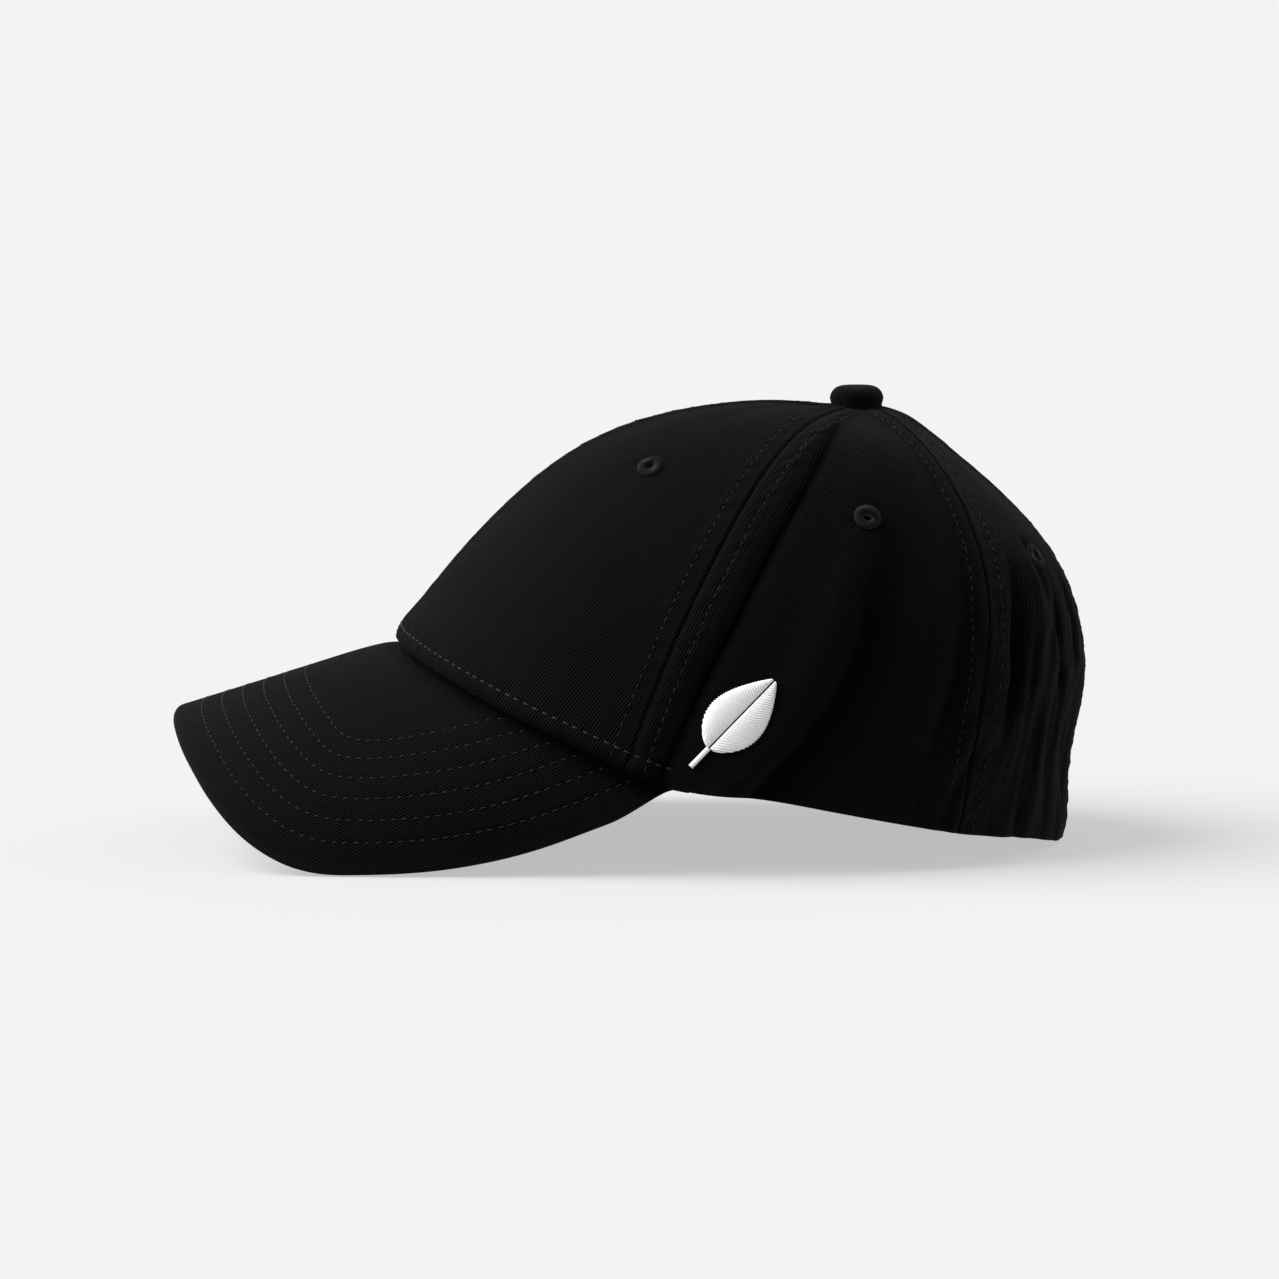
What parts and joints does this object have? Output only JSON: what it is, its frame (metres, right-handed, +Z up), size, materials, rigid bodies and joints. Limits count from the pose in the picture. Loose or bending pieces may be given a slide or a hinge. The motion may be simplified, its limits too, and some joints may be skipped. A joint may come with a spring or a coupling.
{
  "type": "baseball cap",
  "caption": "Structured soft cap with a domed sewn crown, a curved stiff brim, a closed elastic back, a covered top button and a plain leaf motif on the left side.",
  "frame": {"origin": "on the table under the middle of the cap's length and width, as it stands on the back of its hem and the sides of its brim", "axes": "+Z up, -Y the way the brim points, +X the wearer's left"},
  "size_m": [0.1646, 0.2718, 0.1357],
  "materials": {
    "black_twill": "matt cotton twill",
    "buckram": "stiffened open weave",
    "seam_tape": "plain woven tape",
    "band_cloth": "brushed stretch cloth",
    "eyelet_thread": "satin-stitched thread",
    "white_thread": "satin-stitched thread",
    "label_cloth": "plain woven label",
    "brim_board_plastic": "flat moulded sheet",
    "shell_metal": "satin"
  },
  "bodies": {
    "crown": {"front_panel_left": "black_twill", "front_panel_right": "black_twill", "side_panel_left": "black_twill", "side_panel_right": "black_twill", "back_panel_left": "black_twill", "back_panel_right": "black_twill", "front_buckram_left": "buckram", "front_buckram_right": "buckram", "front_seam_tape": "seam_tape", "back_seam_tape": "seam_tape", "front_side_seam_tape_left": "seam_tape", "back_side_seam_tape_left": "seam_tape", "front_side_seam_tape_right": "seam_tape", "back_side_seam_tape_right": "seam_tape", "brim_seam_tape": "seam_tape", "sweatband": "band_cloth", "sweatband_edging": "seam_tape", "size_label": "label_cloth", "care_label": "label_cloth", "button_cover": "black_twill", "button_shell": "shell_metal", "button_washer": "shell_metal", "front_eyelet_left": "eyelet_thread", "front_eyelet_right": "eyelet_thread", "side_eyelet_left": "eyelet_thread", "side_eyelet_right": "eyelet_thread", "back_eyelet_left": "eyelet_thread", "back_eyelet_right": "eyelet_thread", "leaf_blade_front": "white_thread", "leaf_blade_back": "white_thread", "leaf_stem": "white_thread"},
    "brim": {"brim_top_cover": "black_twill", "brim_under_cover": "black_twill", "brim_board": "brim_board_plastic"}
  },
  "joints": [
    {"name": "brim_tilt", "type": "hinge", "parent": "crown", "child": "brim", "pos_m": [0, 0.0125, 0.025], "axis": [-1, 0, 0], "range_deg": [0, 8], "stiffness_Nm_per_rad": 6, "deforming": ["front_panel_left", "front_panel_right", "side_panel_left", "side_panel_right", "front_buckram_left", "front_buckram_right", "brim_seam_tape", "sweatband"]}
  ]
}
